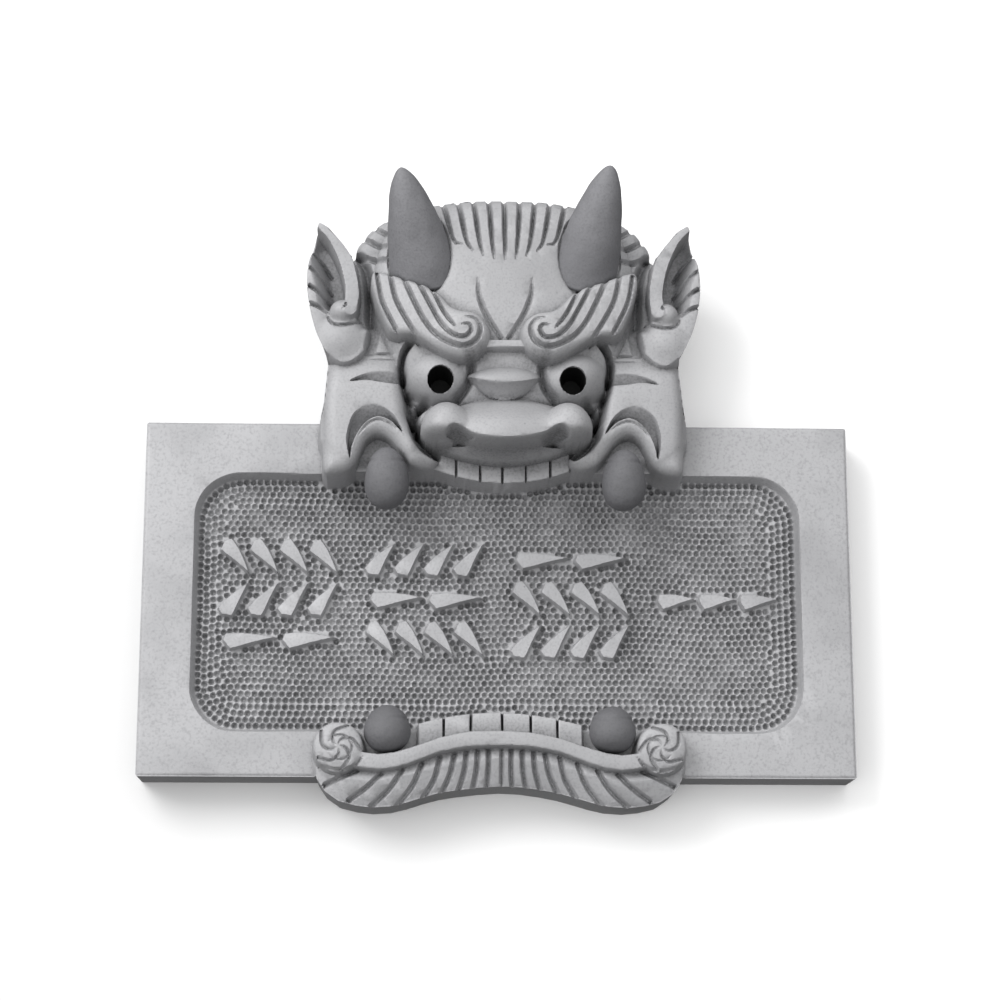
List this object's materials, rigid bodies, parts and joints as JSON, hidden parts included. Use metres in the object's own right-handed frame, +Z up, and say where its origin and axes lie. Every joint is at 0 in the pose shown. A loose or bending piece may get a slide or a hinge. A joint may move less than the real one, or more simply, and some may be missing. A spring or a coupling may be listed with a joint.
{
  "type": "onigawara roof tile name plaque",
  "caption": "Fired clay onigawara wall plaque: a flat plate with a sunk tool-marked panel held in the jaws of a horned demon head, for fixing by its flat back.",
  "frame": {"origin": "centre of the plate's flat back face", "axes": "+Y out of the back into the wall, -Y out of the face, +X to the right seen from the front, +Z up"},
  "size_m": [0.24, 0.0568, 0.2127],
  "materials": {
    "burnished_tile": "smoked clay burnished to a silvery satin, darker in its hollows",
    "matt_tile": "smoked clay left matt and darker"
  },
  "bodies": {
    "root": {"tile_body": "burnished_tile", "horn_left": "matt_tile", "horn_right": "matt_tile", "fang_upper_left": "matt_tile", "fang_upper_right": "matt_tile", "fang_lower_left": "matt_tile", "fang_lower_right": "matt_tile"}
  },
  "joints": []
}
